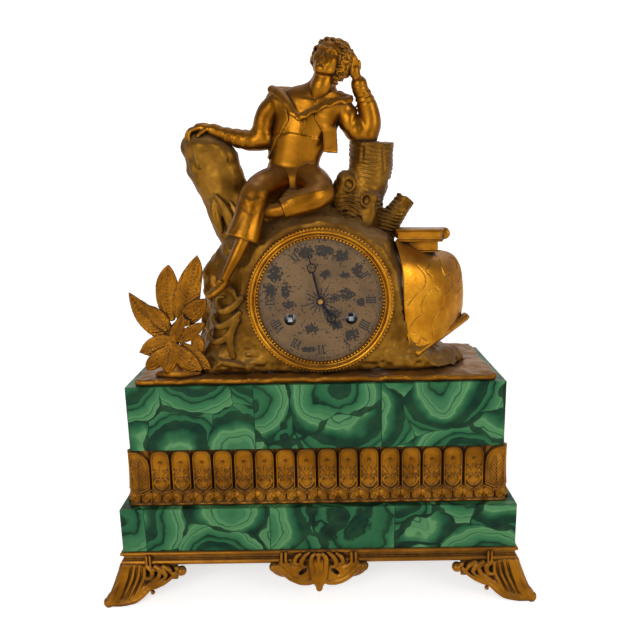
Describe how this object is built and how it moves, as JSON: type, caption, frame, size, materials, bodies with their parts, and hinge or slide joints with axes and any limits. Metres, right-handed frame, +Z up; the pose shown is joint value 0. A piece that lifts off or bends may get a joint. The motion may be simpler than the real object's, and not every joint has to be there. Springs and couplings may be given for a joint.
{
  "type": "figural mantel clock",
  "caption": "Mantel clock with a seated gilt figure on a rocky mound round the dial, on a stepped green stone plinth with a cast frieze and scrolled feet; a full movement drives it.",
  "frame": {"origin": "on the floor, under the middle of the plinth", "axes": "+Z up, the dial faces -Y, +X to the right seen from the front"},
  "size_m": [0.325, 0.1322, 0.4133],
  "materials": {
    "gilt_bronze": "fire-gilt cast bronze, burnished on the high places, dark in the hollows",
    "malachite": "polished banded green stone veneer",
    "core": "honed dark stone",
    "silvered_dial": "silvered brass with dark tarnish",
    "blued_steel": "blued steel",
    "brass": "brushed movement brass",
    "steel": "polished steel",
    "bell_metal": "turned bell metal",
    "silk": "twisted silk thread"
  },
  "bodies": {
    "root": {"foot_front_left": "gilt_bronze", "foot_front_right": "gilt_bronze", "foot_rear_left": "gilt_bronze", "foot_rear_right": "gilt_bronze", "apron_pendant": "gilt_bronze", "base_moulding": "gilt_bronze", "plinth_core": "core", "lower_veneer": "malachite", "upper_veneer": "malachite", "frieze_front": "gilt_bronze", "frieze_sides": "gilt_bronze", "terrace": "gilt_bronze", "rock_mound": "gilt_bronze", "left_rock": "gilt_bronze", "tree_stump": "gilt_bronze", "leaf_spray": "gilt_bronze", "map_sheet": "gilt_bronze", "books": "gilt_bronze", "figure_torso": "gilt_bronze", "figure_head": "gilt_bronze", "figure_right_arm": "gilt_bronze", "figure_left_arm": "gilt_bronze", "figure_right_leg": "gilt_bronze", "figure_left_leg": "gilt_bronze", "bezel": "gilt_bronze", "dial": "silvered_dial", "front_plate": "brass", "back_plate": "brass", "case_straps": "brass", "rear_ring": "brass", "bell": "bell_metal", "bell_stand": "steel", "suspension_cock": "brass"},
    "minute": {"minute_hand": "blued_steel", "cannon_pinion": "brass", "centre_wheel": "brass"},
    "hour": {"hour_hand": "blued_steel", "hour_wheel": "brass"},
    "minute_wheel": {"minute_wheel": "brass"},
    "intermediate": {"intermediate_wheel": "brass"},
    "going_barrel": {"going_barrel": "brass"},
    "third": {"third_wheel": "brass"},
    "escape": {"escape_wheel": "brass"},
    "going_arbor": {"going_arbor": "steel"},
    "strike_arbor": {"strike_arbor": "steel"},
    "going_click": {"going_click": "steel"},
    "strike_click": {"strike_click": "steel"},
    "pendulum": {"silk_loop": "silk", "pendulum_rod": "brass", "pendulum_bob": "brass"},
    "anchor": {"anchor": "steel"},
    "strike_second": {"strike_second_wheel": "brass", "count_wheel": "brass"},
    "strike_barrel": {"strike_barrel": "brass"},
    "pin_wheel": {"pin_wheel": "brass"},
    "warning": {"warning_wheel": "brass"},
    "fly": {"fly": "brass"},
    "hammer": {"hammer": "steel"},
    "rear_door": {"rear_door": "brass"},
    "regulator": {"regulator_arbor": "steel"}
  },
  "joints": [
    {"name": "minute_turn", "type": "hinge", "parent": "root", "child": "minute", "pos_m": [0.005, 0, 0.2265], "axis": [0, 1, 0], "continuous": true},
    {"name": "hour_turn", "type": "hinge", "parent": "root", "child": "hour", "pos_m": [0.005, 0, 0.2265], "axis": [0, 1, 0], "continuous": true},
    {"name": "minute_wheel_turn", "type": "hinge", "parent": "root", "child": "minute_wheel", "pos_m": [0.00257, 0, 0.24029], "axis": [0, 1, 0], "continuous": true},
    {"name": "intermediate_turn", "type": "hinge", "parent": "root", "child": "intermediate", "pos_m": [0.00571, 0, 0.21077], "axis": [0, 1, 0], "continuous": true},
    {"name": "going_barrel_turn", "type": "hinge", "parent": "root", "child": "going_barrel", "pos_m": [0.02729, 0, 0.21311], "axis": [0, 1, 0], "continuous": true},
    {"name": "third_turn", "type": "hinge", "parent": "root", "child": "third", "pos_m": [0.01319, 0, 0.2379], "axis": [0, 1, 0], "continuous": true},
    {"name": "escape_turn", "type": "hinge", "parent": "root", "child": "escape", "pos_m": [0.005, 0, 0.247], "axis": [0, 1, 0], "continuous": true},
    {"name": "going_winding", "type": "hinge", "parent": "root", "child": "going_arbor", "pos_m": [0.02729, 0, 0.21311], "axis": [0, 1, 0], "continuous": true},
    {"name": "strike_winding", "type": "hinge", "parent": "root", "child": "strike_arbor", "pos_m": [-0.01729, 0, 0.21311], "axis": [0, 1, 0], "continuous": true},
    {"name": "strike_second_turn", "type": "hinge", "parent": "root", "child": "strike_second", "pos_m": [-0.00923, 0, 0.23326], "axis": [0, 1, 0], "continuous": true},
    {"name": "strike_barrel_turn", "type": "hinge", "parent": "root", "child": "strike_barrel", "pos_m": [-0.01729, 0, 0.21311], "axis": [0, 1, 0], "continuous": true},
    {"name": "pin_wheel_turn", "type": "hinge", "parent": "root", "child": "pin_wheel", "pos_m": [-0.01588, 0, 0.24477], "axis": [0, 1, 0], "continuous": true},
    {"name": "warning_turn", "type": "hinge", "parent": "root", "child": "warning", "pos_m": [-0.00678, 0, 0.25241], "axis": [0, 1, 0], "continuous": true},
    {"name": "fly_turn", "type": "hinge", "parent": "root", "child": "fly", "pos_m": [-0.00246, 0, 0.25989], "axis": [0, 1, 0], "continuous": true},
    {"name": "regulator_turn", "type": "hinge", "parent": "root", "child": "regulator", "pos_m": [0.0029, 0, 0.273], "axis": [0, 1, 0], "continuous": true},
    {"name": "pendulum_swing", "type": "hinge", "parent": "root", "child": "pendulum", "pos_m": [0.005, 0, 0.2588], "axis": [0, 1, 0], "range_deg": [-4, 4]},
    {"name": "anchor_swing", "type": "hinge", "parent": "root", "child": "anchor", "pos_m": [0.005, 0, 0.2588], "axis": [0, 1, 0], "range_deg": [-4, 4]},
    {"name": "going_click_lift", "type": "hinge", "parent": "root", "child": "going_click", "pos_m": [0.03279, 0, 0.20358], "axis": [0, 1, 0], "range_deg": [0, 10], "stiffness_Nm_per_rad": 0.002, "springref_deg": -5.73},
    {"name": "strike_click_lift", "type": "hinge", "parent": "root", "child": "strike_click", "pos_m": [-0.02279, 0, 0.20358], "axis": [0, 1, 0], "range_deg": [-10, 0], "stiffness_Nm_per_rad": 0.002, "springref_deg": 5.73},
    {"name": "hammer_lift", "type": "hinge", "parent": "root", "child": "hammer", "pos_m": [-0.02809, 0, 0.24033], "axis": [0, 1, 0], "range_deg": [0, 14], "stiffness_Nm_per_rad": 0.005, "springref_deg": -5.73},
    {"name": "rear_door_swing", "type": "hinge", "parent": "root", "child": "rear_door", "pos_m": [-0.0468, 0.04267, 0.2265], "axis": [0, 0, 1], "range_deg": [0, 100]}
  ],
  "couplings": [
    {"joint": "hour_turn", "follows": "minute_turn", "ratio": 0.083333},
    {"joint": "minute_wheel_turn", "follows": "minute_turn", "ratio": -0.33333},
    {"joint": "intermediate_turn", "follows": "minute_turn", "ratio": -0.16667},
    {"joint": "going_barrel_turn", "follows": "minute_turn", "ratio": 0.027778},
    {"joint": "third_turn", "follows": "minute_turn", "ratio": -12},
    {"joint": "escape_turn", "follows": "minute_turn", "ratio": 132},
    {"joint": "strike_barrel_turn", "follows": "strike_second_turn", "ratio": -0.16667},
    {"joint": "pin_wheel_turn", "follows": "strike_second_turn", "ratio": -9},
    {"joint": "warning_turn", "follows": "strike_second_turn", "ratio": 90},
    {"joint": "fly_turn", "follows": "strike_second_turn", "ratio": -720},
    {"joint": "anchor_swing", "follows": "pendulum_swing", "ratio": 1}
  ]
}
